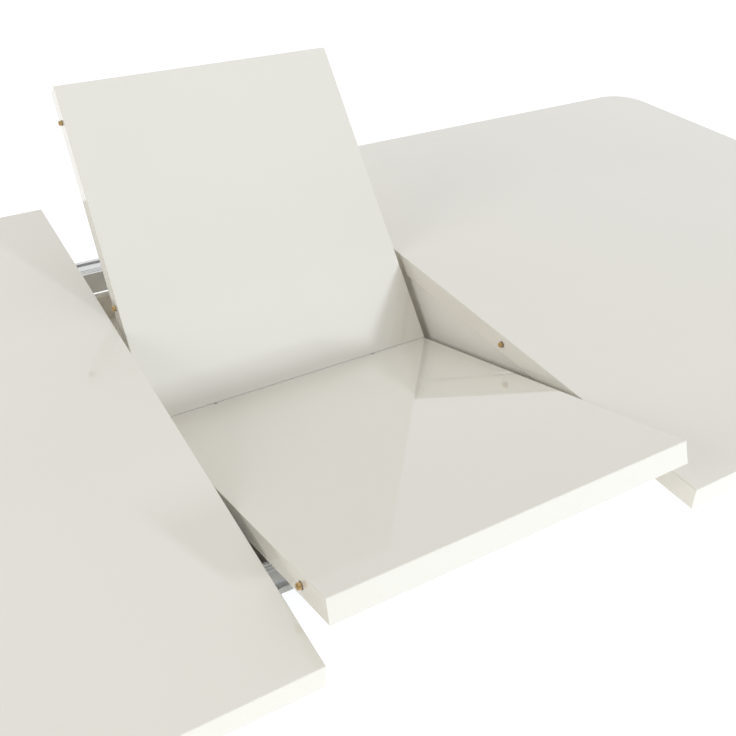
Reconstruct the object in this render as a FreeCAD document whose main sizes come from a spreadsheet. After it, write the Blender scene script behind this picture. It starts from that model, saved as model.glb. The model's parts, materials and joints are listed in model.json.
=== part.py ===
import FreeCAD, Part
import os
import re
import Sketcher

# Extending dining table with a butterfly leaf, in millimetres.
#
# Origin: on the floor, under the middle of the table. +X along the table's length, +Y to the back,
# +Z up. The two table tops are drawn apart. Between them the folding leaf stands half open: its
# front half is tilted on two pivots and its rear half leans back from the seam.
#
# The left and right ends are the same assembly, turned round. Every sub-part of the leaf is drawn
# lying flat, level with the tops, and its Placement then turns it to the half-open position.

DIMENSIONS = (
    ("table_height", 760), ("top_length", 800), ("top_width", 900), ("top_thick", 25),
    ("corner_radius", 60), ("edge_round", 1),
    ("leaf_width", 400), ("half_leaf", 450), ("leaf_thick", 25), ("edge_gap", 8.4),
    ("half_width", "=top_width / 2"),
    ("leaf_edge", "=leaf_width / 2"),
    ("inner_edge", "=leaf_edge + edge_gap"),
    ("outer_edge", "=inner_edge + top_length"),
    ("underside", "=table_height - top_thick"),
    ("leaf_under", "=table_height - leaf_thick"),

    # The leaf's motion: the front half turns on the pivots, the rear half on the seam.
    ("tilt_angle", 18.3), ("seam_angle", 65.9),
    ("pivot_line", 277.5), ("pivot_depth", 32), ("pivot_height", "=table_height - pivot_depth"),
    ("seam_gap", 0.3),

    # Dowels that line the leaf up with the tops, and the sockets that take them.
    ("dowel_radius", 3.2), ("dowel_reach", 4.6), ("dowel_seat", 20), ("dowel_tip", 1.2),
    ("dowel_near", 150), ("dowel_far", 403), ("dowel_height", "=table_height - top_thick / 2"),
    ("socket_radius", 3.7), ("socket_depth", 10),

    # Centre beams: hollow extrusions with a T-slot along the top.
    ("beam_half_length", 560), ("beam_inner", 298), ("beam_outer", 338), ("beam_wall", 3),
    ("beam_top", "=table_height - 43"), ("beam_bottom", "=table_height - 76"),
    ("slot_line", 328), ("slot_half", 4), ("cavity_half", 7.4),
    ("lip_thick", 3.2), ("cavity_floor", 9), ("cavity_web", 2.5),
    ("groove_start", 301.5), ("groove_pitch", 4), ("groove_width", 1.8), ("groove_depth", 0.8),
    ("cap_thick", 3), ("tie_line", 410), ("tie_half", 15), ("tie_depth", 12),

    # Slides under each top: a bar with a T-shaped foot that runs in the beam's slot.
    ("slide_start", 232), ("slide_end", 758), ("foot_end", 532), ("slide_half", 10),
    ("run_clear", 0.3), ("neck_half", 3.6), ("foot_half", 7), ("foot_top", 3.6), ("foot_bottom", 8.6),
    ("stop_length", 12), ("stop_gap", 0.4),
    ("slide_screw_start", 562), ("slide_screw_pitch", 90), ("slide_screw_sunk", 3),
    ("slide_screw_length", 27),

    # Aprons, legs and feet of each end.
    ("apron_thick", 18), ("apron_depth", 70), ("apron_start", 300), ("apron_face", 398),
    ("end_apron_face", 957), ("leg_size", 70), ("leg_round", 3), ("overhang", 50),
    ("leg_outer", "=outer_edge - overhang"), ("leg_inner", "=leg_outer - leg_size"),
    ("leg_side", "=half_width - overhang"), ("leg_inside", "=leg_side - leg_size"),
    ("apron_inside", "=apron_face - apron_thick"), ("apron_bottom", "=underside - apron_depth"),
    ("end_apron_inside", "=end_apron_face - apron_thick"),
    ("rail_start", 760), ("rail_thick", 18), ("rail_depth", 60),
    ("brace_reach", 118), ("brace_flange", 26), ("brace_thick", 3), ("brace_inset", 10),
    ("bolt_radius", 3), ("bolt_length", 48), ("bolt_head_radius", 6.5), ("bolt_head_thick", 5),
    ("foot_height", 10), ("pad_height", 3), ("foot_radius", 19), ("stem_radius", 4), ("stem_length", 30),

    # Leaf well between the beams.
    ("well_half", 212), ("well_wall", 16), ("well_board", 12), ("well_floor_thick", 6),
    ("well_floor_top", "=table_height - 117.6"), ("well_floor_under", "=well_floor_top - well_floor_thick"),
    ("well_wall_top", "=table_height - 28"), ("well_board_top", "=table_height - 78"),
    ("strip_height", 2.4), ("strip_half", 180), ("strip_front", 30), ("strip_back", 5),
    ("rest_top", "=leaf_under - run_clear"), ("pad_near", 60), ("pad_far", 80),
    ("pad_inset", 3), ("pad_width", 11),
    ("angle_thick", 2), ("angle_reach", 28), ("angle_low", 2), ("angle_high", 3),
    ("screw_radius", 2), ("head_radius", 4), ("head_thick", 2), ("well_screw_length", 30),
    ("well_screw_near", 75), ("well_screw_far", 220),

    # Pivot hardware.
    ("ear_thick", 3.5), ("plate_thick", 2.5), ("eye_radius", 6.6), ("washer_radius", 5.6),
    ("pin_radius", 3), ("pin_bore", 3.06), ("pin_proud", 2), ("pin_head_radius", 5.5),
    ("pin_head_thick", 3), ("ear_line", 146), ("bracket_line", 152), ("washer_clear", 0.2),
    ("plate_width", 30), ("plate_front", 318), ("plate_back", 237), ("plate_screw_inset", 13),
    ("plate_screw_length", 16.5), ("bracket_foot", "=table_height - 74"), ("bracket_plate", 2),

    # Hinges concealed in the seam.
    ("hinge_line", 115), ("barrel_radius", 7), ("barrel_length", 18), ("rod_radius", 1.2),
    ("rod_clear", 1.35), ("rod_break", 2), ("rod_end", 1), ("arm_inner", 10), ("arm_outer", 13),
    ("arm_clear", 0.4), ("arm_thick", 2.4), ("arm_gap", 0.6), ("arm_root", 8), ("arm_sweep", 75),
    ("channel_sweep", 78),
)

WORD = re.compile(r"[A-Za-z_][A-Za-z_0-9]*")
SIDES = (("left", -1), ("right", 1))
ROWS = (("front", -1), ("rear", 1))
X_AXIS = FreeCAD.Vector(1, 0, 0)
Y_AXIS = FreeCAD.Vector(0, 1, 0)
Z_AXIS = FreeCAD.Vector(0, 0, 1)

doc = FreeCAD.newDocument("extending_table")
dims = doc.addObject("Spreadsheet::Sheet", "Dims")
subparts = []


def fill_sheet():
    """Write one row for each dimension: its name, and its number or formula under that alias."""
    for row, (name, value) in enumerate(DIMENSIONS, start=1):
        dims.set(f"A{row}", name)
        dims.set(f"B{row}", str(value))
        dims.setAlias(f"B{row}", name)
    doc.recompute()


def formula(text):
    """Turn 'table_height - 3' into an expression that reads the sheet's aliases."""
    return WORD.sub(lambda word: "Dims." + word.group(), str(text))


def bind(thing, **sizes):
    """Bind properties of an object to formulas in the sheet's words."""
    for name, text in sizes.items():
        thing.setExpression(name, formula(text))


def move(thing, x, y, z):
    """Bind an object's position."""
    for axis, text in zip("xyz", (x, y, z)):
        thing.setExpression(f".Placement.Base.{axis}", formula(text))
    return thing


def sided(span, sign):
    """Turn a (low, high) span round to the negative side when sign is -1."""
    low, high = span
    return span if sign > 0 else (f"-({high})", f"-({low})")


def block(x, y, z):
    """A box between three (low, high) spans."""
    thing = doc.addObject("Part::Box", "block")
    for size, (low, high) in zip(("Length", "Width", "Height"), (x, y, z)):
        bind(thing, **{size: f"({high}) - ({low})"})
    return move(thing, x[0], y[0], z[0])


def rod(axis, radius, length, x, y, z):
    """A cylinder that starts at x, y, z and runs along an axis; +X, +Y or +Z."""
    thing = doc.addObject("Part::Cylinder", "rod")
    bind(thing, Radius=radius, Height=length)
    thing.Placement = FreeCAD.Placement(FreeCAD.Vector(), FreeCAD.Rotation(Z_AXIS, axis))
    return move(thing, x, y, z)


def cut(base, *tools):
    """The base with the tools taken away."""
    result = doc.addObject("Part::Cut", "cut")
    result.Base = base
    result.Tool = tools[0] if len(tools) == 1 else group(*tools)
    return result


def join(*things):
    """One solid out of pieces that meet."""
    result = doc.addObject("Part::MultiFuse", "join")
    result.Shapes = list(things)
    result.Refine = True
    return result


def group(*things):
    """Several separate solids in one object."""
    result = doc.addObject("Part::Compound", "group")
    result.Links = list(things)
    return result


def rounded(base, radius, chosen):
    """Round the edges of a base that the test picks out."""
    doc.recompute()
    size = getattr(dims, radius)
    result = doc.addObject("Part::Fillet", "rounded")
    result.Base = base
    result.Edges = [(number, size, size) for number, edge in enumerate(base.Shape.Edges, start=1)
                    if chosen(edge)]
    return result


def name_part(label, thing):
    """Give a finished sub-part its own label and put it on the list that is written out."""
    thing.Label = label
    subparts.append(thing)
    return thing


def is_level(edge):
    """An edge in a level plane, such as the rim of a panel."""
    return edge.BoundBox.ZLength < 0.01


def is_upright(edge):
    """An edge that stands up."""
    return edge.BoundBox.XLength < 0.01 and edge.BoundBox.YLength < 0.01


# ---- panels ----------------------------------------------------------------------------------

def panel_body(name, length, width, thick):
    """A panel made from a sketched rectangle with one corner at its own origin, padded upwards."""
    body = doc.addObject("PartDesign::Body", name)
    sketch = body.newObject("Sketcher::SketchObject", name + "_outline")
    plane = [item for item in body.Origin.OriginFeatures if item.Role == "XY_Plane"][0]
    sketch.AttachmentSupport = [(plane, "")]
    sketch.MapMode = "FlatFace"
    corners = [FreeCAD.Vector(*xy, 0) for xy in ((0, 0), (9, 0), (9, 9), (0, 9))]
    for start, end in zip(corners, corners[1:] + corners[:1]):
        sketch.addGeometry(Part.LineSegment(start, end))
    for side in range(4):
        sketch.addConstraint(Sketcher.Constraint("Coincident", side, 2, (side + 1) % 4, 1))
        sketch.addConstraint(Sketcher.Constraint(("Horizontal", "Vertical")[side % 2], side))
    sketch.addConstraint(Sketcher.Constraint("Coincident", 0, 1, -1, 1))
    for side, size in ((0, length), (1, width)):
        number = sketch.addConstraint(Sketcher.Constraint("Distance", side, 9))
        sketch.setExpression(f"Constraints[{number}]", formula(size))
    pad = body.newObject("PartDesign::Pad", name + "_pad")
    pad.Profile = sketch
    bind(pad, Length=thick)
    doc.recompute()
    return body


def table_top(side, sign):
    """One 25 mm end top: its two outer corners are rounded, and every edge is eased a little."""
    body = panel_body(side + "_top_panel", "top_length", "top_width", "top_thick")
    x, _ = sided(("inner_edge", "outer_edge"), sign)
    move(body, x, "-half_width", "underside")
    outer = sign * dims.outer_edge
    curved = rounded(body, "corner_radius",
                     lambda edge: is_upright(edge) and abs(edge.CenterOfMass.x - outer) < 1)
    return rounded(curved, "edge_round", is_level)


def leaf_panel(name, row):
    """One half of the leaf, lying flat. Its seam edge has a small groove for the hinge rods."""
    body = panel_body(name + "_panel", "leaf_width", "half_leaf - seam_gap", "leaf_thick")
    y, _ = sided(("seam_gap", "half_leaf"), row)
    move(body, "-leaf_edge", y, "leaf_under")
    return rounded(body, "edge_round",
                   lambda edge: is_level(edge) and abs(edge.CenterOfMass.y) > 1)


# ---- dowels ----------------------------------------------------------------------------------

def dowel(x, y):
    """A dowel that lies along X, with its left end eased to a taper."""
    pin = rod(X_AXIS, "dowel_radius", "dowel_reach + dowel_seat", x, y, "dowel_height")
    doc.recompute()
    left = pin.Shape.BoundBox.XMin
    return rounded(pin, "dowel_tip", lambda edge: abs(edge.BoundBox.XMax - left) < 0.01)


def dowel_rows(*rows):
    """The Y position of each dowel on the front (-1) or rear (+1) part of an edge."""
    return [f"{row} * dowel_{place}" for row in rows for place in ("near", "far")]


def dowel_bores(x, rows):
    """Bores that hold the dowels' seats."""
    return [rod(X_AXIS, "dowel_radius", "dowel_seat", x, y, "dowel_height") for y in rows]


def socket_bores(x, rows):
    """Wider, shallow bores that the neighbouring panel's dowels slip into."""
    return [rod(X_AXIS, "socket_radius", "socket_depth", x, y, "dowel_height") for y in rows]


def screw(x, y, z, head, length):
    """A screw that points up. Its head ends, and its shank starts, at height z."""
    return join(rod(Z_AXIS, "head_radius", head, x, y, f"{z} - {head}"),
                rod(Z_AXIS, "screw_radius", length, x, y, z))


# ---- centre frame ----------------------------------------------------------------------------

def centre_beam(row):
    """A hollow aluminium beam with a T-slot, two hollows and a few fine grooves along its top."""
    along = ("-beam_half_length", "beam_half_length")

    def strip(y, z):
        return block(along, sided(y, row), z)

    solid = strip(("beam_inner", "beam_outer"), ("beam_bottom", "beam_top"))
    neck = strip(("slot_line - slot_half", "slot_line + slot_half"),
                 ("beam_top - lip_thick", "beam_top"))
    cavity = strip(("slot_line - cavity_half", "slot_line + cavity_half"),
                   ("beam_top - cavity_floor", "beam_top - lip_thick"))
    low_hollow = strip(("beam_inner + beam_wall", "beam_outer - beam_wall"),
                       ("beam_bottom + beam_wall", "beam_top - cavity_floor - cavity_web"))
    side_hollow = strip(("beam_inner + beam_wall", "slot_line - cavity_half - beam_wall"),
                        ("beam_top - cavity_floor - cavity_web", "beam_top - beam_wall"))
    grooves = [strip((f"groove_start + {place} * groove_pitch",
                      f"groove_start + {place} * groove_pitch + groove_width"),
                     ("beam_top - groove_depth", "beam_top")) for place in range(3)]
    return cut(solid, neck, cavity, low_hollow, side_hollow, *grooves)


def beam_caps():
    """A plastic cap on each end of both beams."""
    return group(*[block(sided(("beam_half_length", "beam_half_length + cap_thick"), sign),
                         sided(("beam_inner", "beam_outer"), row), ("beam_bottom", "beam_top"))
                   for _, sign in SIDES for _, row in ROWS])


def slide_stops():
    """A block fixed in each slot just past the slide's foot, where the table is fully drawn out."""
    stops = []
    for _, sign in SIDES:
        x = sided(("foot_end + stop_gap", "foot_end + stop_gap + stop_length"), sign)
        for _, row in ROWS:
            foot = block(x, sided(("slot_line - foot_half", "slot_line + foot_half"), row),
                         ("beam_top - foot_bottom", "beam_top - foot_top"))
            neck = block(x, sided(("slot_line - neck_half", "slot_line + neck_half"), row),
                         ("beam_top - foot_top", "beam_top"))
            stops.append(join(foot, neck))
    return group(*stops)


def beam_ties():
    """Two flat bars under the beams that hold them parallel."""
    return group(*[block(sided(("tie_line - tie_half", "tie_line + tie_half"), sign),
                         ("-beam_outer", "beam_outer"), ("beam_bottom - tie_depth", "beam_bottom"))
                   for _, sign in SIDES])


def well_angles():
    """Steel angles in the corners between the well's end walls and the beams."""
    face, elbow = "well_half + well_wall", "well_half + well_wall + angle_thick"
    z = ("beam_bottom + angle_low", "beam_top - angle_high")
    angles = []
    for _, sign in SIDES:
        for _, row in ROWS:
            on_wall = block(sided((face, elbow), sign),
                            sided(("beam_inner - angle_reach", "beam_inner"), row), z)
            on_beam = block(sided((elbow, face + " + angle_reach"), sign),
                            sided(("beam_inner - angle_thick", "beam_inner"), row), z)
            angles.append(join(on_wall, on_beam))
    return group(*angles)


def leaf_rests():
    """Rubber pads on the beams that the open leaf lies on."""
    y = ("beam_inner + pad_inset", "beam_inner + pad_inset + pad_width")
    return group(*[block(sided(("pad_near", "pad_far"), sign), sided(y, row), ("beam_top", "rest_top"))
                   for _, sign in SIDES for _, row in ROWS])


def well_screws():
    """Screws up through the well's floor into its end walls."""
    screws = []
    for _, sign in SIDES:
        x = f"{sign} * (well_half + well_wall / 2)"
        for y in ("-well_screw_far", "-well_screw_near", "well_screw_near", "well_screw_far"):
            screws.append(screw(x, y, "well_floor_under", "head_thick", "well_screw_length"))
    return group(*screws)


def pivot_bracket(sign):
    """A steel bracket on the front beam's inner face, with an ear that holds the pivot pin."""
    near, far = "bracket_line", "bracket_line + plate_thick"
    foot = block(sided((far, "bracket_line + plate_width"), sign),
                 ("-beam_inner", "-beam_inner + bracket_plate"), ("bracket_foot", "pivot_height"))
    ear_x = sided((near, far), sign)
    ear = block(ear_x, ("-beam_inner", "-pivot_line"),
                ("pivot_height - eye_radius", "pivot_height + eye_radius"))
    web = block(ear_x, ("-beam_inner", "-beam_inner + bracket_plate"),
                ("bracket_foot", "pivot_height"))
    eye = rod(X_AXIS, "eye_radius", "plate_thick", ear_x[0], "-pivot_line", "pivot_height")
    hole = rod(X_AXIS, "pin_radius", "plate_thick", ear_x[0], "-pivot_line", "pivot_height")
    return cut(join(foot, ear, web, eye), hole)


def pivot_pin(sign):
    """A headed steel pin through the bracket's ear and the leaf's ear."""
    inner, outer = "ear_line - pin_proud", "bracket_line + plate_thick"
    shank_x, _ = sided((inner, outer), sign)
    shank = rod(X_AXIS, "pin_radius", f"({outer}) - ({inner})", shank_x, "-pivot_line", "pivot_height")
    head_x, _ = sided((outer, outer + " + pin_head_thick"), sign)
    head = rod(X_AXIS, "pin_head_radius", "pin_head_thick", head_x, "-pivot_line", "pivot_height")
    return join(shank, head)


def pivot_washers():
    """A nylon washer on each pivot pin, between the two ears."""
    inner, outer = "ear_line + ear_thick + washer_clear", "bracket_line"
    thick = f"({outer}) - ({inner})"
    washers = []
    for _, sign in SIDES:
        x, _ = sided((inner, outer), sign)
        disc, hole = [rod(X_AXIS, radius, thick, x, "-pivot_line", "pivot_height")
                      for radius in ("washer_radius", "pin_radius")]
        washers.append(cut(disc, hole))
    return group(*washers)


def make_centre_frame():
    """Everything that stays still between the two ends."""
    for name, row in ROWS:
        name_part(f"{name}_beam", centre_beam(row))
    name_part("beam_end_caps", beam_caps())
    name_part("slide_stops", slide_stops())
    name_part("beam_tie_bars", beam_ties())
    screws = well_screws()
    floor = block(("-well_half - well_wall", "well_half + well_wall"), ("-beam_inner", "beam_inner"),
                  ("well_floor_under", "well_floor_top"))
    name_part("well_floor", cut(floor, screws))
    for name, sign in SIDES:
        wall = block(sided(("well_half", "well_half + well_wall"), sign),
                     ("-beam_inner", "beam_inner"), ("well_floor_top", "well_wall_top"))
        name_part(f"well_{name}_wall", cut(wall, screws))
    for name, row in ROWS:
        name_part(f"well_{name}_board", block(("-well_half", "well_half"), sided(
            ("beam_inner - well_board", "beam_inner"), row), ("well_floor_top", "well_board_top")))
    name_part("well_screws", screws)
    name_part("well_angles", well_angles())
    name_part("leaf_rest_pads", leaf_rests())
    name_part("leaf_rest_strip", block(
        ("-strip_half", "strip_half"), ("-strip_front", "strip_back"),
        ("well_floor_top", "well_floor_top + strip_height")))
    for name, sign in SIDES:
        name_part(f"{name}_pivot_bracket", pivot_bracket(sign))
        name_part(f"{name}_pivot_pin", pivot_pin(sign))
    name_part("pivot_washers", pivot_washers())


# ---- the two ends ----------------------------------------------------------------------------

def slide(sign, row):
    """A bar under the top with a T-shaped foot along its inner part, which runs in the slot."""
    def strip(x, half, z):
        return block(sided(x, sign), sided((f"slot_line - {half}", f"slot_line + {half}"), row), z)

    bar = strip(("slide_start", "slide_end"), "slide_half", ("beam_top + run_clear", "underside"))
    neck = strip(("slide_start", "foot_end"), "neck_half",
                 ("beam_top - foot_top", "beam_top + run_clear"))
    foot = strip(("slide_start", "foot_end"), "foot_half",
                 ("beam_top - foot_bottom", "beam_top - foot_top"))
    return join(bar, neck, foot)


def slide_screws(sign):
    """Screws up through both slides into the top, with their heads let into the bar."""
    z = "beam_top + run_clear + slide_screw_sunk"
    return group(*[screw(f"{sign} * (slide_screw_start + {place} * slide_screw_pitch)",
                         f"{row} * slot_line", z, "slide_screw_sunk", "slide_screw_length")
                   for _, row in ROWS for place in range(3)])


def leg(sign, row):
    """A square leg, with a bore for the levelling foot and its long edges eased."""
    post = block(sided(("leg_inner", "leg_outer"), sign), sided(("leg_inside", "leg_side"), row),
                 ("foot_height", "underside"))
    return rounded(post, "leg_round", is_upright)


def levelling_feet(sign):
    """A glide, a disc and a threaded stem under each leg."""
    feet = []
    for _, row in ROWS:
        x, y = f"{sign} * (leg_outer - leg_size / 2)", f"{row} * (leg_side - leg_size / 2)"
        glide = rod(Z_AXIS, "foot_radius", "pad_height", x, y, 0)
        disc = rod(Z_AXIS, "foot_radius - 2", "foot_height - pad_height", x, y, "pad_height")
        stem = rod(Z_AXIS, "stem_radius", "stem_length", x, y, "foot_height")
        feet.append(join(glide, disc, stem))
    return group(*feet)


def corner_brace(sign, row):
    """A pressed steel brace across the corner between the side apron and the end apron."""
    flange_start = "(brace_reach + brace_flange)"
    z = ("apron_bottom + brace_inset", "underside - brace_inset")
    on_side = block(
        sided((f"end_apron_inside - {flange_start}", "end_apron_inside - brace_reach"), sign),
        sided(("apron_inside - brace_thick", "apron_inside"), row), z)
    on_end = block(
        sided(("end_apron_inside - brace_thick", "end_apron_inside"), sign),
        sided((f"apron_inside - {flange_start}", "apron_inside - brace_reach"), row), z)
    corner_x, corner_y, reach = dims.end_apron_inside, dims.apron_inside, dims.brace_reach
    outline = doc.addObject("Part::Polygon", "brace_outline")
    outline.Nodes = [FreeCAD.Vector(sign * x, row * y, dims.apron_bottom + dims.brace_inset)
                     for x, y in ((corner_x - reach - dims.brace_thick, corner_y),
                                  (corner_x, corner_y - reach - dims.brace_thick),
                                  (corner_x, corner_y - reach), (corner_x - reach, corner_y))]
    outline.Close = True
    across = doc.addObject("Part::Extrusion", "brace")
    across.Base, across.Dir, across.Solid = outline, Z_AXIS, True
    bind(across, LengthFwd="apron_depth - 2 * brace_inset")
    return join(on_side, on_end, across)


def leg_bolt(sign, row):
    """A bolt through the brace into the leg's inner corner, at 45 degrees."""
    inset = dims.brace_reach / 2 + dims.brace_thick
    way = FreeCAD.Vector(sign, row, 0).normalize()
    seat = FreeCAD.Vector(sign * (dims.end_apron_inside - inset), row * (dims.apron_inside - inset),
                          dims.apron_bottom + dims.apron_depth / 2)
    turn = FreeCAD.Rotation(Z_AXIS, way)
    shank = doc.addObject("Part::Cylinder", "bolt_shank")
    bind(shank, Radius="bolt_radius", Height="bolt_length")
    shank.Placement = FreeCAD.Placement(seat, turn)
    head = doc.addObject("Part::Prism", "bolt_head")
    head.Polygon = 6
    bind(head, Circumradius="bolt_head_radius", Height="bolt_head_thick")
    head.Placement = FreeCAD.Placement(seat - way * dims.bolt_head_thick, turn)
    return join(shank, head)


def make_end(side, sign):
    """One end of the table: a top on two slides, with its aprons and two legs."""
    rows = dowel_rows(-1, 1)
    screws = slide_screws(sign)
    bolts = group(*[leg_bolt(sign, row) for _, row in ROWS])
    feet = levelling_feet(sign)
    top = table_top(side, sign)
    if sign > 0:
        dowels = group(*[dowel("inner_edge - dowel_reach", y) for y in rows])
        top = cut(top, screws, *dowel_bores("inner_edge", rows))
        name_part("right_top_dowels", dowels)
    else:
        top = cut(top, screws, *socket_bores("-inner_edge - socket_depth", rows))
    name_part(f"{side}_top", top)

    apron_z = ("apron_bottom", "underside")
    for name, row in ROWS:
        name_part(f"{side}_{name}_slide", cut(slide(sign, row), screws))
        name_part(f"{side}_{name}_apron", block(
            sided(("apron_start", "leg_inner"), sign), sided(("apron_inside", "apron_face"), row), apron_z))
        name_part(f"{side}_{name}_leg", cut(leg(sign, row), feet, bolts))
        name_part(f"{side}_{name}_corner_brace", cut(corner_brace(sign, row), bolts))
    name_part(f"{side}_end_apron", block(sided(("end_apron_inside", "end_apron_face"), sign),
                                         ("-leg_inside", "leg_inside"), apron_z))
    name_part(f"{side}_cross_rail", block(
        sided(("rail_start", "rail_start + rail_thick"), sign), ("-apron_inside", "apron_inside"),
        ("underside - rail_depth", "underside")))
    name_part(f"{side}_levelling_feet", feet)
    name_part(f"{side}_leg_bolts", bolts)
    name_part(f"{side}_slide_screws", screws)


# ---- the leaf --------------------------------------------------------------------------------

TILT = ("placement(vector(0; 0; 0); rotation(vector(1; 0; 0); -Dims.tilt_angle);"
        " vector(0; -Dims.pivot_line; Dims.pivot_height))")
FOLD = ("placement(vector(0; 0; 0); rotation(vector(1; 0; 0); Dims.seam_angle);"
        " vector(0; 0; Dims.table_height))")


def tilted(thing):
    """Turn a flat piece of the front half, or of the seam, to the half-open position."""
    thing.setExpression("Placement", TILT)
    return thing


def folded(thing):
    """Turn a flat piece of the rear half to the half-open position."""
    thing.setExpression("Placement", TILT + " * " + FOLD)
    return thing


def arc_bar(x, length, inner, outer, start, sweep):
    """Part of a ring about the seam line. Its angles run from straight down towards +Y."""
    ring = []
    for radius in (outer, inner):
        disc = doc.addObject("Part::Cylinder", "sector")
        bind(disc, Radius=radius, Height=length, Angle=sweep)
        turn = FreeCAD.Rotation(X_AXIS, start) * FreeCAD.Rotation(Y_AXIS, 90)
        disc.Placement = FreeCAD.Placement(FreeCAD.Vector(), turn)
        ring.append(move(disc, x, 0, "table_height"))
    return cut(*ring)


def make_hinges(row):
    """One leaf half's two hinge barrels, and the channels for the arms of the other half.

    Each barrel is pressed into the seam edge. Its arm curves about the seam line into a channel in
    the facing half, and the arms of the two halves pass side by side.
    """
    near_side, far_side = "arm_gap / 2", "-arm_gap / 2 - arm_thick"
    if row < 0:
        own, other = near_side, far_side
        arm_start, channel_start = -dims.arm_root, -dims.channel_sweep
    else:
        own, other = far_side, near_side
        arm_start, channel_start = -dims.arm_sweep, 0
    y, _ = sided(("seam_gap", "seam_gap + barrel_length"), row)
    barrels, seats, channels = [], [], []
    for _, side in SIDES:
        centre = f"{side} * hinge_line"
        barrel = rod(Y_AXIS, "barrel_radius", "barrel_length", centre, y, "dowel_height")
        arm = arc_bar(f"{centre} + {own}", "arm_thick", "arm_inner", "arm_outer", arm_start,
                      "arm_sweep + arm_root")
        channel = arc_bar(f"{centre} + {other} - arm_clear / 2", "arm_thick + arm_clear",
                          "arm_inner - arm_clear", "arm_outer + arm_clear", channel_start,
                          "channel_sweep")
        barrels.append(cut(join(barrel, arm), channel))
        seats.append(barrel)
        channels.append(channel)
    return group(*barrels), seats + channels


def seam_rods():
    """Half-round rods along the seam line, flush with the front half's face."""
    spans = (("-leaf_edge + rod_end", "-hinge_line - rod_break"),
             ("-hinge_line + rod_break", "hinge_line - rod_break"),
             ("hinge_line + rod_break", "leaf_edge - rod_end"))
    rods = []
    for low, high in spans:
        half_round = doc.addObject("Part::Cylinder", "half_round")
        bind(half_round, Radius="rod_radius", Height=f"({high}) - ({low})")
        half_round.Angle = 180
        turn = FreeCAD.Rotation(X_AXIS, -90) * FreeCAD.Rotation(Y_AXIS, 90)
        half_round.Placement = FreeCAD.Placement(FreeCAD.Vector(), turn)
        rods.append(move(half_round, low, 0, "table_height"))
    return group(*rods)


def plate_screws():
    """Two screws up through each pivot plate into the front half of the leaf."""
    return group(*[screw(f"{sign} * (ear_line - plate_width / 3)", y, "leaf_under - plate_thick",
                         "head_thick", "plate_screw_length") for _, sign in SIDES
                   for y in ("-plate_front + plate_screw_inset", "-plate_back - plate_screw_inset")])


def pivot_plate(sign, screws):
    """A steel plate screwed under the leaf's front half, with an ear that turns on the pivot pin."""
    ear_x = sided(("ear_line", "ear_line + ear_thick"), sign)
    plate = block(sided(("ear_line - plate_width", "ear_line + ear_thick"), sign),
                  ("-plate_front", "-plate_back"), ("leaf_under - plate_thick", "leaf_under"))
    ear = block(ear_x, ("-pivot_line - eye_radius", "-pivot_line + eye_radius"),
                ("pivot_height", "leaf_under"))
    eye, bore = [rod(X_AXIS, radius, "ear_thick", ear_x[0], "-pivot_line", "pivot_height")
                 for radius in ("eye_radius", "pin_bore")]
    return cut(join(plate, ear, eye), bore, screws)


def make_leaf_half(name, row, turned, rod_bore, *fittings):
    """One half of the leaf with its dowels, sockets, hinge barrels and seam groove."""
    rows = dowel_rows(row)
    dowels = group(*[dowel("-leaf_edge - dowel_reach", y) for y in rows])
    barrels, recesses = make_hinges(row)
    groove = rod(X_AXIS, rod_bore, "leaf_width", "-leaf_edge", 0, "table_height")
    panel = cut(leaf_panel(name, row), groove, *recesses, *dowel_bores("-leaf_edge", rows),
                *socket_bores("leaf_edge - socket_depth", rows), *fittings)
    name_part(f"{name}_half_leaf", turned(panel))
    name_part(f"{name}_leaf_dowels", turned(dowels))
    name_part(f"{name}_hinge_barrels", turned(barrels))


def make_leaf():
    """Both halves of the leaf, the rods in their seam and the front half's pivot plates."""
    screws = plate_screws()
    for side, sign in SIDES:
        name_part(f"{side}_pivot_plate", tilted(pivot_plate(sign, screws)))
    make_leaf_half("front", -1, tilted, "rod_radius", screws)
    make_leaf_half("rear", 1, folded, "rod_clear")
    name_part("seam_hinge_rods", tilted(seam_rods()))
    name_part("pivot_plate_screws", tilted(group(screws)))


# ---- check and write -------------------------------------------------------------------------

def check_document():
    """Stop if an object failed to build, or a sub-part has no valid solid."""
    doc.recompute()
    for thing in doc.Objects:
        if {"Invalid", "Error"} & set(thing.State):
            raise RuntimeError(f"{thing.Name} ({thing.Label}) did not build: {thing.State}")
    for part in subparts:
        shape = part.Shape
        if shape.isNull() or not shape.isValid() or not shape.Solids:
            raise RuntimeError(f"{part.Label} is not a valid solid")


def write_parts():
    """Write each sub-part to parts/NODE.step and print its size."""
    os.makedirs("parts", exist_ok=True)
    for part in subparts:
        part.Shape.exportStep(os.path.join("parts", part.Label + ".step"))
        box = part.Shape.optimalBoundingBox(False)
        print(f"{part.Label:26s} {len(part.Shape.Solids):2d} solids {part.Shape.Volume / 1000:9.2f} cm3  "
              f"x {box.XMin:.1f} {box.XMax:.1f}  y {box.YMin:.1f} {box.YMax:.1f}  "
              f"z {box.ZMin:.1f} {box.ZMax:.1f}")
    print(len(subparts), "sub-parts")


fill_sheet()
make_centre_frame()
for side_name, side_sign in SIDES:
    make_end(side_name, side_sign)
make_leaf()
check_document()
write_parts()
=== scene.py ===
# %% [markdown]
# # An extending dining table with its leaf half raised
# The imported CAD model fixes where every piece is. This notebook gives the pieces their looks:
# gloss white lacquer, satin board, metals, rubber and felt. A few small parts, such as dowels and
# screws, are made again here with finer shapes than the CAD needs.

# %% Load the fixed frame
import bpy
import json
import math
import numpy as np
from mathutils import Matrix, Vector


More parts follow.
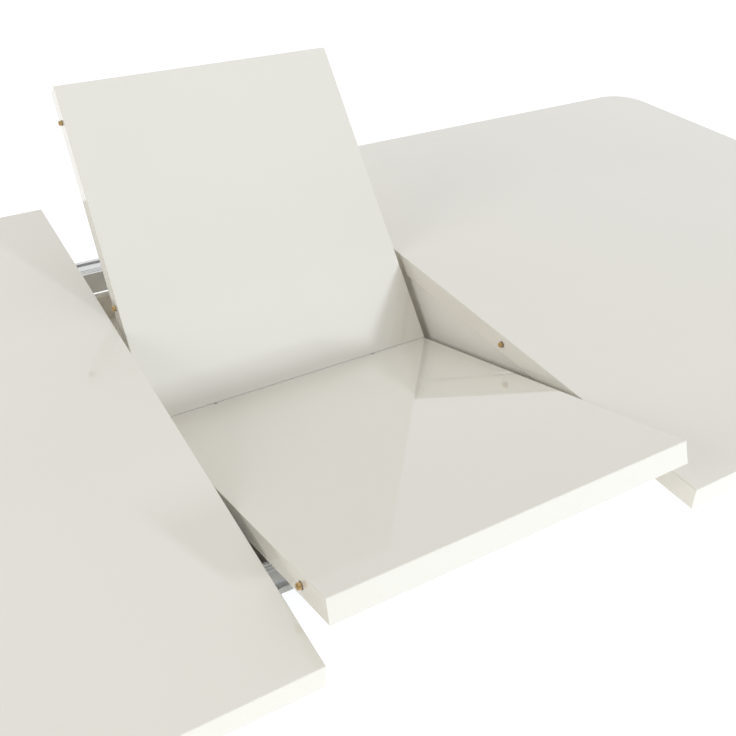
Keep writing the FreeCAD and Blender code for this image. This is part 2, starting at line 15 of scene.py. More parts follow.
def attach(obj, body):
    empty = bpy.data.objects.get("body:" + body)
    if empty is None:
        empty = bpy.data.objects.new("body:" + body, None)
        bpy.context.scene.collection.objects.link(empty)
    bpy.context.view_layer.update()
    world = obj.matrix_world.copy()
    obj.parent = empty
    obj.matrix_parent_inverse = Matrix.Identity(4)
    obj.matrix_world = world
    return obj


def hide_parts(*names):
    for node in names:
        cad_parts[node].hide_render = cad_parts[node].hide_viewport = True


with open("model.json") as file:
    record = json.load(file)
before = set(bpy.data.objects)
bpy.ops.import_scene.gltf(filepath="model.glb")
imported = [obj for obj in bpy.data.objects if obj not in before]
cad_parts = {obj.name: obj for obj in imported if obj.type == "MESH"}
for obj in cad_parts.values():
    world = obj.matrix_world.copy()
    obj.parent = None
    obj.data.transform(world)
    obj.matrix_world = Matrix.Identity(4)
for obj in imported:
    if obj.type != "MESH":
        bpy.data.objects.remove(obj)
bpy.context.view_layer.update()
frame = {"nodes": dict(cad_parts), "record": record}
nodes = frame["nodes"]
MM = 0.001

# %% [markdown]
# ## The camera
# It stands close in front of the table's left half, 1.4 m above the floor, and looks down across
# the table towards its right end. The lens is a normal 45 mm one on a 36 mm sensor. A small shift
# moves the view without turning the camera, so the perspective stays as it is.

# %% Camera
CAMERA_PLACE = Vector((-0.4554, -0.8633, 1.4040))
CAMERA_YAW, CAMERA_DOWN, CAMERA_ROLL = 29.26, 28.21, -1.15
FOCAL_LENGTH, SENSOR_WIDTH, NEAREST = 45.17, 36, 0.05
SHIFT = (0.0679, -0.1807)


def camera_turn(yaw, down, roll):
    """Right, up and back axes of a camera that looks along +Y, turned by yaw to +X, then down."""
    yaw, down, roll = (math.radians(angle) for angle in (yaw, down, roll))
    forward = Vector((math.sin(yaw) * math.cos(down), math.cos(yaw) * math.cos(down),
                      -math.sin(down)))
    level = Vector((math.cos(yaw), -math.sin(yaw), 0))
    below = forward.cross(level)
    right = math.cos(roll) * level + math.sin(roll) * below
    return Matrix((right, forward.cross(right) * -1, forward * -1)).transposed()


camera = bpy.data.objects.new("camera", bpy.data.cameras.new("camera"))
bpy.context.scene.collection.objects.link(camera)
camera.matrix_world = (Matrix.Translation(CAMERA_PLACE)
                       @ camera_turn(CAMERA_YAW, CAMERA_DOWN, CAMERA_ROLL).to_4x4())
camera.data.sensor_width = SENSOR_WIDTH
camera.data.lens = FOCAL_LENGTH
camera.data.shift_x, camera.data.shift_y = SHIFT
camera.data.clip_start = NEAREST
bpy.context.scene.camera = camera
print("camera at", tuple(round(value, 3) for value in camera.location))

# %% [markdown]
# ## From numbers to a mesh
# Most new pieces here are turned: a profile goes round an axis. One function takes a grid of
# points, with one row for each ring, and joins the rings with faces. It closes both ends with a
# fan of triangles, so the result is a shell with no holes. The grid is worked out as whole numpy
# arrays, which is quick and keeps the formula in one line.

# %% Grid to mesh
SHARP_ANGLE = math.radians(35)


def ring_faces(rings, around):
    """Quads between neighbouring rings, wound so that they face outwards."""
    row, column = np.meshgrid(np.arange(rings - 1), np.arange(around), indexing="ij")
    after = (column + 1) % around
    quads = np.stack([row * around + column, row * around + after,
                      (row + 1) * around + after, (row + 1) * around + column], -1)
    return quads.reshape(-1, 4)


def shells_mesh(name, shells):
    """One mesh from closed shells, each a grid of points[ring, around]. A fan closes each end."""
    points, faces, start = [], [], 0
    for grid in shells:
        rings, around = grid.shape[:2]
        count = rings * around
        here, after = np.arange(around), (np.arange(around) + 1) % around
        points += [grid.reshape(-1, 3), np.array([grid[0].mean(0), grid[-1].mean(0)])]
        faces += (ring_faces(rings, around) + start).tolist()
        fan = np.stack([after, here, np.full(around, count)], -1) + start
        lid = np.stack([here, after, np.full(around, count + 1)], -1) + start
        lid[:, :2] += count - around
        faces += fan.tolist() + lid.tolist()
        start += count + 2
    mesh = bpy.data.meshes.new(name)
    mesh.from_pydata(np.concatenate(points).tolist(), [], faces)
    mesh.validate()
    mesh.shade_smooth()
    mesh.set_sharp_from_angle(angle=SHARP_ANGLE)
    return mesh


def make_piece(name, shells, body, slot, material, *replaced):
    """An object at the origin, riding on a CAD body. It may stand for nodes that it replaces."""
    piece = bpy.data.objects.new(name, shells_mesh(name, shells))
    bpy.context.scene.collection.objects.link(piece)
    piece.data.materials.append(material)
    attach(piece, body)
    if replaced:
        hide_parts(*replaced)
    print(f"{name}: {len(piece.data.polygons)} faces on {body}")
    return piece


# %% [markdown]
# ## Floor and light
# Gloss surfaces show what is round them, so the scene is a light tent: pale grey all round, with
# two brighter parts. The floor is a flat disc that glows a little, and is matt so that it mirrors
# nothing itself. Its rings are narrow in the middle and wide outside, since only the middle is
# seen closely.

# %% Floor
FLOOR_RADIUS = 14.0
FLOOR_RINGS, FLOOR_SPOKES = 12, 96
FIRST_RING = 0.2
turn = np.linspace(0, 2 * np.pi, FLOOR_SPOKES, endpoint=False)
reach = np.linspace(FIRST_RING, 1, FLOOR_RINGS)[:, None] ** 2 * FLOOR_RADIUS
floor_top = np.stack([reach * np.cos(turn), reach * np.sin(turn), 0 * reach * turn], -1)
floor_faces = ring_faces(FLOOR_RINGS, FLOOR_SPOKES)[:, ::-1].tolist()
floor_faces += [(spoke, (spoke + 1) % FLOOR_SPOKES, FLOOR_SPOKES * FLOOR_RINGS)
                for spoke in range(FLOOR_SPOKES)]
floor_mesh = bpy.data.meshes.new("floor")
floor_mesh.from_pydata(floor_top.reshape(-1, 3).tolist() + [(0, 0, 0)], [], floor_faces)
floor = bpy.data.objects.new("floor", floor_mesh)
bpy.context.scene.collection.objects.link(floor)

FLOOR_WHITE, FLOOR_GLOW, FLOOR_ROUGH = 0.42, 0.71, 0.9
floor_look = bpy.data.materials.new("pale_floor")
floor_look.use_nodes = True
floor_shader = floor_look.node_tree.nodes["Principled BSDF"]
floor_shader.inputs["Base Color"].default_value = (FLOOR_WHITE, FLOOR_WHITE, FLOOR_WHITE, 1)
floor_shader.inputs["Roughness"].default_value = FLOOR_ROUGH
floor_shader.inputs["Emission Color"].default_value = (1, 1, 1, 1)
floor_shader.inputs["Emission Strength"].default_value = FLOOR_GLOW
floor_mesh.materials.append(floor_look)
print("floor", FLOOR_RADIUS, "m in radius")

# %% [markdown]
# Light and finishes are both built from nodes. One helper adds a node, sets its numbers and joins
# its inputs to other nodes, so the cells below read as a list of what each node does.

# %% A node and its links


def add(tree, kind, settings=None, **sockets):
    """A node with its settings, and with each named socket set to a value or linked.

    A socket's name has _ for a space. A name such as _0 is the socket's number instead.
    """
    node = tree.nodes.new(kind)
    for name, value in (settings or {}).items():
        setattr(node, name, value)
    for name, value in sockets.items():
        place = int(name[1:]) if name[0] == "_" else name.replace("_", " ")
        if isinstance(value, bpy.types.NodeSocket):
            tree.links.new(value, node.inputs[place])
        else:
            node.inputs[place].default_value = value
    return node


# %% [markdown]
# The tent's walls are the world. They are brighter behind the table and high in front of it, and
# fade smoothly, which gives the tops their sheen. Lamps would do this too, but a lamp's edge
# shows in gloss lacquer as a hard square. The dot product of two directions is the cosine of the
# angle between them, so it says how near a direction is to the middle of a bright part.

# %% A tent with two brighter parts
WORLD_LIGHT, WORLD_TINT = 0.45, (0.98, 0.99, 1.0, 1)
# Each: its direction, the angles in degrees where it has ended and where it starts to fade, and
# its light.
BRIGHT_PARTS = (((0.437, 0.727, 0.53), 60, 32, 0.52), ((0.36, -0.55, 0.75), 55, 20, 0.38))
world = bpy.data.worlds.new("light_tent")
world.use_nodes = True
tent = world.node_tree
direction = add(tent, "ShaderNodeTexCoord").outputs["Generated"]
light = WORLD_LIGHT
for way, fade_end, fade_start, amount in BRIGHT_PARTS:
    nearness = add(tent, "ShaderNodeVectorMath", {"operation": "DOT_PRODUCT"}, _0=direction,
                   _1=Vector(way).normalized())
    lobe = add(tent, "ShaderNodeMapRange", {"interpolation_type": "SMOOTHSTEP"},
               Value=nearness.outputs["Value"], From_Min=math.cos(math.radians(fade_end)),
               From_Max=math.cos(math.radians(fade_start)), To_Max=amount)
    light = add(tent, "ShaderNodeMath", {"operation": "ADD"}, _0=light,
                _1=lobe.outputs[0]).outputs[0]
backdrop = tent.nodes["Background"]
backdrop.inputs["Color"].default_value = WORLD_TINT
tent.links.new(light, backdrop.inputs["Strength"])
bpy.context.scene.world = world
bpy.context.scene.view_settings.view_transform = "Standard"
print("a tent with", len(BRIGHT_PARTS), "brighter parts")

# %% [markdown]
# A small lamp low in front throws the soft shadow that lies along the foot of the raised half. A
# larger one on the left keeps the side faces from going flat. Both are left out of mirror images.

# %% Two lamps
TABLE_MIDDLE = Vector((0, 0, 0.75))


def soft_lamp(name, way, distance, size, power, colour):
    """A square lamp in a direction from the table's middle, which it points at."""
    lamp = bpy.data.objects.new(name, bpy.data.lights.new(name, "AREA"))
    lamp.data.shape, lamp.data.size, lamp.data.energy = "SQUARE", size, power
    lamp.data.color = colour
    way = Vector(way).normalized()
    lamp.location = TABLE_MIDDLE + way * distance
    lamp.rotation_euler = (-way).to_track_quat("-Z", "Y").to_euler()
    lamp.visible_glossy = False
    bpy.context.scene.collection.objects.link(lamp)


soft_lamp("front_lamp", (0.32, -0.92, 0.24), 6.0, 0.4, 146, (0.78, 0.89, 1.0))
soft_lamp("left_lamp", (-0.93, -0.05, 0.32), 4.0, 2.5, 58, (0.98, 0.99, 1.0))

# %% [markdown]
# ## Shared effects
# Real finishes are never one flat value. Four small node groups hold the effects that the
# finishes are made of: slow patches, a fine skin, long streaks and specks of dust. Each takes a
# place in the object's own metres and puts out a mask or a height. The materials choose the
# scale. First come two helpers: one starts a group with its sockets, the other puts a group into
# a material.

# %% Helpers for node groups


def start_group(name, sizes, output):
    """A group with a Place input and number inputs: (its tree, its inputs, a closer)."""
    tree = bpy.data.node_groups.new(name, "ShaderNodeTree")
    tree.interface.new_socket("Place", in_out="INPUT", socket_type="NodeSocketVector")
    for label, value in sizes.items():
        number = tree.interface.new_socket(label, in_out="INPUT", socket_type="NodeSocketFloat")
        number.default_value = value
    tree.interface.new_socket(output, in_out="OUTPUT", socket_type="NodeSocketFloat")
    source, sink = tree.nodes.new("NodeGroupInput"), tree.nodes.new("NodeGroupOutput")
    return tree, source.outputs, lambda socket: tree.links.new(socket, sink.inputs[0])


def use(tree, group, place, **values):
    """A group node in a material, fed with a place and its own values."""
    return add(tree, "ShaderNodeGroup", {"node_tree": group}, Place=place, **values).outputs[0]


# %% [markdown]
# Patches are a noise with its contrast raised. Skin is two noises mixed: a fine one for the
# spray's texture and a broad one for the slow waves that make mirror images swim. Streaks are a
# noise stretched along X. Dust is the middle of each cell of a Voronoi pattern, thinned out by a
# noise.

# %% Patches, skin, streaks and dust
patches, source, close = start_group("slow_patches", {"Scale": 4.0, "Contrast": 0.2}, "Mask")
cloud = add(patches, "ShaderNodeTexNoise", Vector=source["Place"], Scale=source["Scale"],
            Detail=4.0, Roughness=0.55)
low = add(patches, "ShaderNodeMath", {"operation": "SUBTRACT"}, _0=0.5, _1=source["Contrast"])
high = add(patches, "ShaderNodeMath", {"operation": "ADD"}, _0=0.5, _1=source["Contrast"])
close(add(patches, "ShaderNodeMapRange", Value=cloud.outputs[0], From_Min=low.outputs[0],
          From_Max=high.outputs[0]).outputs[0])

skin, source, close = start_group("fine_skin", {"Fine": 300.0, "Broad": 9.0, "Broad part": 0.5},
                                  "Height")
fine = add(skin, "ShaderNodeTexNoise", Vector=source["Place"], Scale=source["Fine"], Detail=1.0)
broad = add(skin, "ShaderNodeTexNoise", Vector=source["Place"], Scale=source["Broad"], Detail=2.0)
close(add(skin, "ShaderNodeMix", Factor=source["Broad part"], A=fine.outputs[0],
          B=broad.outputs[0]).outputs[0])

streaks, source, close = start_group("long_streaks", {"Along": 2.0, "Across": 700.0}, "Mask")
stretch = add(streaks, "ShaderNodeCombineXYZ", X=source["Along"], Y=source["Across"],
              Z=source["Across"])
spread = add(streaks, "ShaderNodeVectorMath", {"operation": "MULTIPLY"}, _0=source["Place"],
             _1=stretch.outputs[0])
close(add(streaks, "ShaderNodeTexNoise", Vector=spread.outputs[0], Scale=1.0,
          Detail=3.0).outputs[0])

dust, source, close = start_group("dust_specks", {"Scale": 90.0, "Size": 0.05}, "Mask")
cells = add(dust, "ShaderNodeTexVoronoi", Vector=source["Place"], Scale=source["Scale"])
thin = add(dust, "ShaderNodeTexNoise", Vector=source["Place"], Scale=6.0, Detail=2.0)
limit = add(dust, "ShaderNodeMath", {"operation": "MULTIPLY"}, _0=source["Size"],
            _1=thin.outputs[0])
close(add(dust, "ShaderNodeMapRange", Value=cells.outputs["Distance"], From_Min=0.0,
          From_Max=limit.outputs[0], To_Min=1.0, To_Max=0.0).outputs[0])
print([group.name for group in bpy.data.node_groups])

# %% [markdown]
# ## Materials
# Every finish starts the same way: two close colours mixed by a mask, a roughness that follows
# the same mask, and a bump for the skin. One function builds that. The numbers that never change
# over a surface, such as coat or sheen, are set straight on the shader. Three short helpers say
# where a mask or a height comes from, so that each finish below is a short row of numbers.

# %% The common start


def two_tone(name, light, dark, rough, mask_of, height_of, depth, **shader_values):
    """A material whose colour and roughness go between two values by a mask, with a bump.

    mask_of and height_of make their nodes from the material's tree and a place. The depth is the
    bump's height in metres.
    """
    material = bpy.data.materials.new(name)
    material.use_nodes = True
    tree = material.node_tree
    shader = tree.nodes["Principled BSDF"]
    place = add(tree, "ShaderNodeTexCoord").outputs["Object"]
    mask = mask_of(tree, place)
    colour = add(tree, "ShaderNodeMix", {"data_type": "RGBA"}, Factor=mask)
    colour.inputs[6].default_value = (*light, 1)
    colour.inputs[7].default_value = (*dark, 1)
    tree.links.new(colour.outputs[2], shader.inputs["Base Color"])
    gloss = add(tree, "ShaderNodeMapRange", Value=mask, To_Min=rough[0], To_Max=rough[1])
    tree.links.new(gloss.outputs[0], shader.inputs["Roughness"])
    bump = add(tree, "ShaderNodeBump", Strength=1.0, Distance=depth,
               Height=height_of(tree, place))
    tree.links.new(bump.outputs[0], shader.inputs["Normal"])
    for socket, value in shader_values.items():
        shader.inputs[socket.replace("_", " ")].default_value = value
    return material


def patch_mask(scale, contrast):
    """Slow patches: about so many in each metre."""
    return lambda tree, place: use(tree, patches, place, Scale=scale, Contrast=contrast)


def skin_height(fine, broad, part):
    """A fine and a broad noise, mixed."""
    return lambda tree, place: use(tree, skin, place, Fine=fine, Broad=broad, Broad_part=part)


def streak_mask(along, across):
    """Lines that run along X."""
    return lambda tree, place: use(tree, streaks, place, Along=along, Across=across)


# %% [markdown]
# The tops, the leaf and the legs are lacquered board. Gloss lacquer is a clear skin over creamy
# white paint: the paint scatters light evenly, and the skin mirrors the room. A coat on the
# shader is that skin. Sprayed lacquer on board is never quite flat, so the mirror images swim a
# little, and slow clouds and a fine dust break up the gloss.

# %% White lacquer


def lacquer_mask(tree, place):
    """Slow clouds with a little dust on them."""
    cloud_part = use(tree, patches, place, Scale=2.2, Contrast=0.16)
    dust_part = use(tree, dust, place, Scale=130.0, Size=0.10)
    return add(tree, "ShaderNodeMath", {"operation": "MAXIMUM", "use_clamp": True}, _0=cloud_part,
               _1=dust_part).outputs[0]


white_lacquer = two_tone(
    "white_lacquer", (0.800, 0.763, 0.678), (0.785, 0.745, 0.658), (0.035, 0.075), lacquer_mask,
    skin_height(260.0, 7.0, 0.93), 0.00035, Coat_Weight=1.0, Coat_Roughness=0.02, Coat_IOR=1.6)
print(white_lacquer.name, "with", len(white_lacquer.node_tree.nodes), "nodes")

# %% [markdown]
# The hidden boards are melamine-faced: satin, with a very fine pebble. The metals differ mostly
# in colour and in the direction of their marks. The extruded beams have long draw lines, the
# slides too, and the zinc-plated steel has cloudy patches. Rubber, felt and plastic are rough,
# and felt gets sheen from its loose fibres.

# %% The other finishes
finishes = {
    "white_lacquer": white_lacquer,
    "white_board": two_tone(
        "white_board", (0.84, 0.81, 0.74), (0.81, 0.775, 0.70), (0.26, 0.40),
        patch_mask(5.0, 0.2), skin_height(900.0, 60.0, 0.3), 0.00015),
    "aluminium": two_tone(
        "aluminium", (0.92, 0.925, 0.93), (0.80, 0.81, 0.82), (0.24, 0.42),
        streak_mask(1.5, 900.0), streak_mask(1.5, 900.0), 0.00006, Metallic=0.55),
    "slide_steel": two_tone(
        "slide_steel", (0.66, 0.67, 0.69), (0.50, 0.51, 0.53), (0.22, 0.45),
        streak_mask(3.0, 500.0), streak_mask(3.0, 500.0), 0.00008, Metallic=1.0),
    "zinc_steel": two_tone(
        "zinc_steel", (0.70, 0.72, 0.74), (0.54, 0.55, 0.56), (0.22, 0.48),
        patch_mask(160.0, 0.25), skin_height(1200.0, 90.0, 0.5), 0.00005, Metallic=1.0),
    "brass": two_tone(
        "brass", (0.74, 0.52, 0.24), (0.50, 0.33, 0.14), (0.20, 0.42),
        patch_mask(350.0, 0.22), skin_height(1500.0, 300.0, 0.4), 0.00003, Metallic=1.0),
    "grey_plastic": two_tone(
        "grey_plastic", (0.15, 0.15, 0.155), (0.12, 0.12, 0.125), (0.42, 0.60),
        patch_mask(60.0, 0.2), skin_height(1800.0, 200.0, 0.3), 0.00010),
    "nylon": two_tone(
        "nylon", (0.82, 0.80, 0.74), (0.76, 0.74, 0.68), (0.30, 0.42),
        patch_mask(120.0, 0.2), skin_height(1500.0, 200.0, 0.4), 0.00005, Subsurface_Weight=0.15),
    "rubber": two_tone(
        "rubber", (0.52, 0.52, 0.50), (0.44, 0.44, 0.42), (0.62, 0.85),
        patch_mask(90.0, 0.25), skin_height(1600.0, 220.0, 0.3), 0.00015),
    "felt": two_tone(
        "felt", (0.66, 0.66, 0.64), (0.50, 0.50, 0.48), (0.85, 1.0),
        patch_mask(900.0, 0.3), skin_height(1400.0, 350.0, 0.5), 0.0012,
        Sheen_Weight=0.6, Sheen_Roughness=0.5),
}
print(len(finishes), "finishes")

# %% [markdown]
# Every CAD node takes the finish of its slot in the record. The rods in the leaf's seam are an
# exception: their steel is nearly white and less like a mirror than the other steel, and takes
# its light from all sides, so that they draw the seam's edge highlight as a painted highlight: a
# thin pale line between the halves.

# %% Every CAD node takes its slot's finish
slot_of = {part["node"]: part["material_slot"] for part in frame["record"]["subparts"]}
for node, shape in nodes.items():
    shape.data.materials.clear()
    shape.data.materials.append(finishes[slot_of[node]])
# Nearly white steel: a painted highlight along the seam, not the rods' own colour.
painted_highlight_steel = two_tone("painted_highlight_steel", (0.98, 0.975, 0.96), (0.93, 0.925, 0.91), (0.30, 0.45),
                        patch_mask(40.0, 0.2), streak_mask(4.0, 900.0), 0.00003, Metallic=0.2)
nodes["seam_hinge_rods"].data.materials[0] = painted_highlight_steel
print(len(slot_of), "nodes have their finish")

# %% [markdown]
# ## Turned pieces
# Dowels, screws, pins and feet are all turned on a lathe or formed round an axis, so they share
# one function: it carries a profile round the axis. The CAD node says where each piece is. Its
# points are sorted along an axis and split where there is a wide gap, which gives one lump for
# each piece. A lump's lowest and highest points then give the axle on which the new piece is
# turned.

# %% Finding repeated parts


def lumps(node, *axes, gap=0.02):
    """The points of each separate part of a CAD node, split at gaps in metres along the axes."""
    shape = nodes[node].data
    points = np.empty(len(shape.vertices) * 3)
    shape.vertices.foreach_get("co", points)
    parts = [points.reshape(-1, 3)]
    for axis in axes:
        rows = [part[np.argsort(part[:, axis])] for part in parts]
        parts = [piece for row in rows
                 for piece in np.split(row, np.flatnonzero(np.diff(row[:, axis]) > gap) + 1)]
    return parts


def axes_round(axis):
    """The axis at unit length, and two unit axes square to it and to each other.

    They are found from Y, or from Z where the axis itself lies near Y.
    """
    axis = np.array(axis, float) / np.linalg.norm(axis)
    side = np.cross(axis, (0, 1, 0) if abs(axis[1]) < 0.9 else (0, 0, 1))
    side /= np.linalg.norm(side)
    return axis, side, np.cross(axis, side)


def axle(points, axis):
    """(start, length) of a lump along an axis: the start lies in the middle of its outline."""
    axis, side, other = axes_round(axis)
    along, across, up = points @ axis, points @ side, points @ other
    middle = [(value.min() + value.max()) / 2 for value in (across, up)]
    return along.min() * axis + middle[0] * side + middle[1] * other, np.ptp(along)


def turned(origin, axis, profile, around=40, ripple=None, sink=None):
    """A grid of points on a surface of revolution: each (along, radius) goes round the axis.

    Point = origin + along * axis + radius * (cos t * side + sin t * other). A ripple gives a
    factor on the radius for each angle and row. A sink pushes a point along the axis by its place
    across.
    """
    axis, side, other = axes_round(axis)
    along, radius = np.array(profile, float).T
    angle = np.linspace(0, 2 * np.pi, around, endpoint=False)
    row = np.arange(len(along))[:, None]
    size = radius[:, None] * (ripple(angle[None], row) if ripple else np.ones((1, around)))
    across, up = size * np.cos(angle), size * np.sin(angle)
    depth = along[:, None] + (sink(across, up, row) if sink else 0 * across)
    return (np.array(origin) + depth[..., None] * axis + across[..., None] * side
            + up[..., None] * other)


# %% [markdown]
# ## Dowels
# A dowel that lines up two panels is a brass pin with a rounded nose, pressed into a plastic
# sleeve. The sleeve's end shows at the panel's edge as a thin ring, made dark grey as a painted
# shadow round the pin. Pin and ring are separate pieces, since they are different materials.

# %% Brass pins and their rings of painted shadow
PIN_RADIUS, PIN_SEAT = 3.2 * MM, 20 * MM
NOSE_LENGTH, NOSE_SHARE, NOSE_STEPS = 1.5 * MM, 0.6, 8
RING_WIDTH, RING_DEEP, RING_PROUD, RING_EASE = 0.9 * MM, 0.5 * MM, 0.25 * MM, 0.1 * MM
TOWARDS_LEFT = (-1, 0, 0)


def pin_shell(points):
    """A pin along X. Its nose goes on by sin t while its radius falls by share * (1 - cos t)."""
    start, length = axle(points, TOWARDS_LEFT)
    shaft = length - NOSE_LENGTH
    nose = [(shaft + NOSE_LENGTH * math.sin(t), PIN_RADIUS * (1 - NOSE_SHARE * (1 - math.cos(t))))
            for t in np.linspace(0, np.pi / 2, NOSE_STEPS)]
    return turned(start, TOWARDS_LEFT, [(0, PIN_RADIUS), (shaft / 2, PIN_RADIUS)] + nose)


def ring_shell(points):
    """A flat ring that starts in the panel's edge and stands just proud of it."""
    start, _ = axle(points, TOWARDS_LEFT)
    outer = PIN_RADIUS + RING_WIDTH
    profile = [(-RING_DEEP, PIN_RADIUS), (-RING_DEEP, outer), (0, outer),
               (RING_PROUD, outer - RING_EASE), (RING_PROUD, PIN_RADIUS)]
    return turned(start + PIN_SEAT * np.array(TOWARDS_LEFT), TOWARDS_LEFT, profile)


for node, body in (("right_top_dowels", "right_end"), ("front_leaf_dowels", "leaf_front"),
                   ("rear_leaf_dowels", "leaf_rear")):
    pins = lumps(node, 1)
    make_piece("turned_" + node, [pin_shell(pin) for pin in pins], body, "brass",
               finishes["brass"], node)
    # The rings' dark grey is painted shadow round each pin.
    make_piece(node + "_sleeve_and_shadow_rings", [ring_shell(pin) for pin in pins], body, "grey_plastic",
               finishes["grey_plastic"])

# %% [markdown]
# ## Screws
# The well, the slides and the pivot plates are held by wood screws, seen from below. Each has a
# low domed head with a cross recess, a shank with a thread, and a point. The head is one surface:
# the recess is a depth added to the dome where the point lies inside either arm of the cross. The
# thread is the same idea along the shank: the radius rises and falls with height, and with the
# turn.

# %% Screws with a cross recess
HEAD_RADIUS, SHANK_RADIUS = 4.0 * MM, 2.0 * MM
ARM_HALF, ARM_REACH, ARM_DEEP, ARM_EASE = 0.55 * MM, 2.3 * MM, 1.0 * MM, 0.3 * MM
THREAD_PITCH, THREAD_DEEP, ROWS_IN_PITCH = 1.8 * MM, 0.09, 4
PLAIN_SHANK, POINT_LENGTH, POINT_SHARE = 2.0 * MM, 5.0 * MM, 0.05
FACE_RINGS, FACE_START, FACE_SHARE = 14, 0.04, 0.97
DOME_RISE, RIM_STEP, SCREW_SIDES = 0.8 * MM, 0.1 * MM, 32


def inside(distance, limit):
    """1 within the limit, 0 beyond it, with a short slope between."""
    return np.clip((limit - np.abs(distance)) / ARM_EASE + 0.5, 0, 1)


def cross_recess(across, up, row):
    """Depth of a cross: the deeper of its two arms, on the rows of the head's face only."""
    arms = [inside(one, ARM_HALF) * inside(two, ARM_REACH)
            for one, two in ((across, up), (up, across))]
    return ARM_DEEP * np.maximum(*arms) * (row < FACE_RINGS)


def screw_shell(points, axis, head):
    """A screw that points along the axis. Its head is the first part of its length."""
    start, length = axle(points, axis)
    share = np.linspace(FACE_START, 1, FACE_RINGS)
    face = [(DOME_RISE * value ** 2, HEAD_RADIUS * value * FACE_SHARE) for value in share]
    rim = [(DOME_RISE + RIM_STEP, HEAD_RADIUS), (head, HEAD_RADIUS)]
    rows = int((length - head - PLAIN_SHANK - POINT_LENGTH) / THREAD_PITCH * ROWS_IN_PITCH)
    shank = [(value, SHANK_RADIUS) for value in
             np.linspace(head + PLAIN_SHANK, length - POINT_LENGTH, rows)]
    profile = face + rim + [(head, SHANK_RADIUS)] + shank + [(length, SHANK_RADIUS * POINT_SHARE)]
    first = len(face) + len(rim) + 1
    height = np.array([value for value, _ in profile])

    def thread(angle, row):
        """Radius factor: a wave along the shank that moves up one pitch in each turn."""
        wave = 1 - THREAD_DEEP * (1 + np.cos(2 * np.pi * height[row] / THREAD_PITCH - angle))
        return np.where((row > first) & (row < len(profile) - 1), wave, 1.0)

    return turned(start, axis, profile, SCREW_SIDES, thread, cross_recess)


# The leaf's front half stands at this tilt, and so do the screws that hold its pivot plates.
LEAF_TILT = math.radians(18.3)
UP, LEAF_UP = (0, 0, 1), (0, math.sin(LEAF_TILT), math.cos(LEAF_TILT))
for node, body, axis, head in (("well_screws", "centre_frame", UP, 2 * MM),
                               ("left_slide_screws", "left_end", UP, 3 * MM),
                               ("right_slide_screws", "right_end", UP, 3 * MM),
                               ("pivot_plate_screws", "leaf_front", LEAF_UP, 2 * MM)):
    make_piece("cross_" + node, [screw_shell(part, axis, head) for part in lumps(node, 0, 1)],
               body, "zinc_steel", finishes["zinc_steel"], node)

# %% [markdown]
# ## Levelling feet
# Under each leg a plastic foot screws in or out to take up an uneven floor. Its disc is scalloped
# for the fingers. The scallops are a ripple on the radius of the disc's rows, so the pad that
# touches the floor stays round. The stem carries a thread made in the same way as the screws'.

# %% Feet with a finger grip
FOOT_RADIUS, GRIP_RADIUS, STEM_RADIUS = 19 * MM, 17 * MM, 4 * MM
PAD_TOP, GRIP_TOP = 3 * MM, 10 * MM
GRIP_LOBES, GRIP_DEEP, EDGE, FOOT_SIDES = 24, 0.035, 0.8 * MM, 144
STEM_PITCH, STEM_THREAD_DEEP, STEM_ROWS = 1.25 * MM, 0.05, 50
STEM_PLAIN, STEM_END_SHARE, PAD_MIDDLE = 1 * MM, 0.8, 2 * MM
FOOT_PROFILE = [(0, PAD_MIDDLE), (0, FOOT_RADIUS - 2 * EDGE), (0.2 * EDGE, FOOT_RADIUS - EDGE),
                (EDGE, FOOT_RADIUS), (PAD_TOP - EDGE, FOOT_RADIUS),
                (PAD_TOP - 0.2 * EDGE, FOOT_RADIUS - EDGE), (PAD_TOP, GRIP_RADIUS),
                (PAD_TOP + EDGE, GRIP_RADIUS), (GRIP_TOP - EDGE, GRIP_RADIUS),
                (GRIP_TOP - 0.2 * EDGE, GRIP_RADIUS - 0.6 * EDGE),
                (GRIP_TOP, GRIP_RADIUS - 2 * EDGE),
                (GRIP_TOP, STEM_RADIUS)]
GRIP_ROWS = (7, 8, 9)


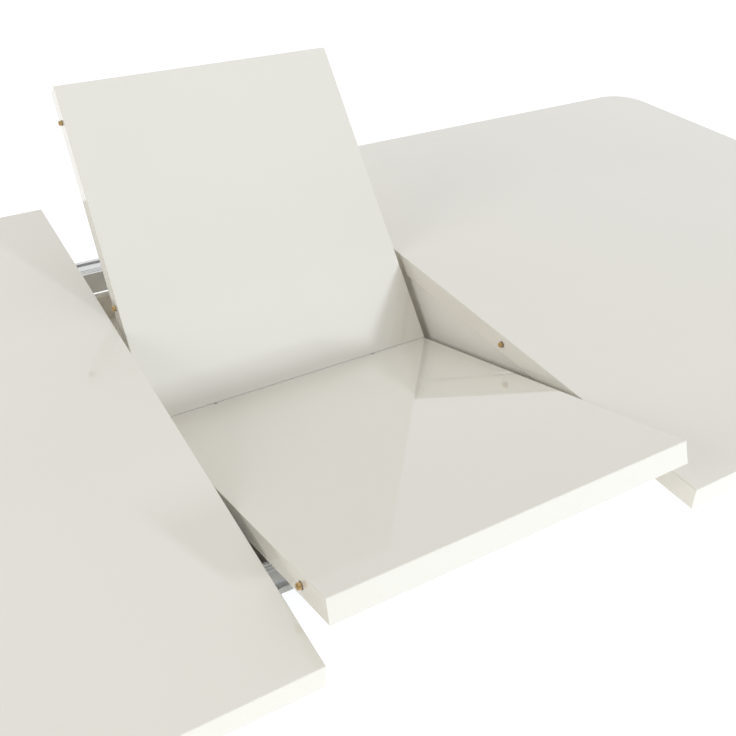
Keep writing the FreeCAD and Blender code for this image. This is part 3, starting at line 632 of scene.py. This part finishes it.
def foot_shell(points):
    """A pad, a scalloped disc and a stem."""
    start, length = axle(points, UP)
    stem = np.linspace(GRIP_TOP + STEM_PLAIN, length - STEM_PLAIN, STEM_ROWS)
    profile = (FOOT_PROFILE + [(value, STEM_RADIUS) for value in stem]
               + [(length, STEM_RADIUS * STEM_END_SHARE)])
    height = np.array([value for value, _ in profile])

    def grip(angle, row):
        """Scallops on the disc's rows and a fine thread on the stem's."""
        scallop = 1 - GRIP_DEEP * (1 - np.abs(np.cos(GRIP_LOBES / 2 * angle)))
        turns = height[row] / STEM_PITCH
        thread = 1 - STEM_THREAD_DEEP * (1 + np.cos(2 * np.pi * turns - angle))
        on_stem = (row >= len(FOOT_PROFILE)) & (row < len(profile) - 1)
        return np.where(np.isin(row, GRIP_ROWS), scallop, np.where(on_stem, thread, 1.0))

    return turned(start, UP, profile, FOOT_SIDES, grip)


for side in ("left", "right"):
    make_piece(side + "_scalloped_feet", [foot_shell(part) for part in
                                          lumps(side + "_levelling_feet", 1, gap=0.1)],
               side + "_end", "grey_plastic", finishes["grey_plastic"], side + "_levelling_feet")

# %% [markdown]
# ## Pivot pins
# The front half of the leaf turns on two headed steel pins. A headed pin is cold-formed, so its
# head is slightly domed and its far end is eased, to start easily in the bore.

# %% Headed pins
PIVOT_RADIUS, PIVOT_HEAD, PIVOT_HEAD_THICK = 3.0 * MM, 5.5 * MM, 3.0 * MM
HEAD_DOME, DOME_START, DOME_ROWS, HEAD_EASE, END_EASE = 1.1 * MM, 0.08, 9, 0.3 * MM, 0.8 * MM
for side, way in (("left", 1), ("right", -1)):
    (part,) = lumps(side + "_pivot_pin", 0, gap=1)
    start, length = axle(part, (way, 0, 0))
    dome = [(HEAD_DOME * (1 - math.cos(t)), PIVOT_HEAD * math.sin(t))
            for t in np.linspace(DOME_START, math.pi / 2, DOME_ROWS)]
    profile = dome + [(PIVOT_HEAD_THICK - HEAD_EASE, PIVOT_HEAD),
                      (PIVOT_HEAD_THICK, PIVOT_HEAD - HEAD_EASE),
                      (PIVOT_HEAD_THICK, PIVOT_RADIUS),
                      (length - END_EASE, PIVOT_RADIUS), (length, PIVOT_RADIUS - END_EASE)]
    make_piece(f"domed_{side}_pivot_pin", [turned(start, (way, 0, 0), profile)], "centre_frame",
               "zinc_steel", finishes["zinc_steel"], side + "_pivot_pin")
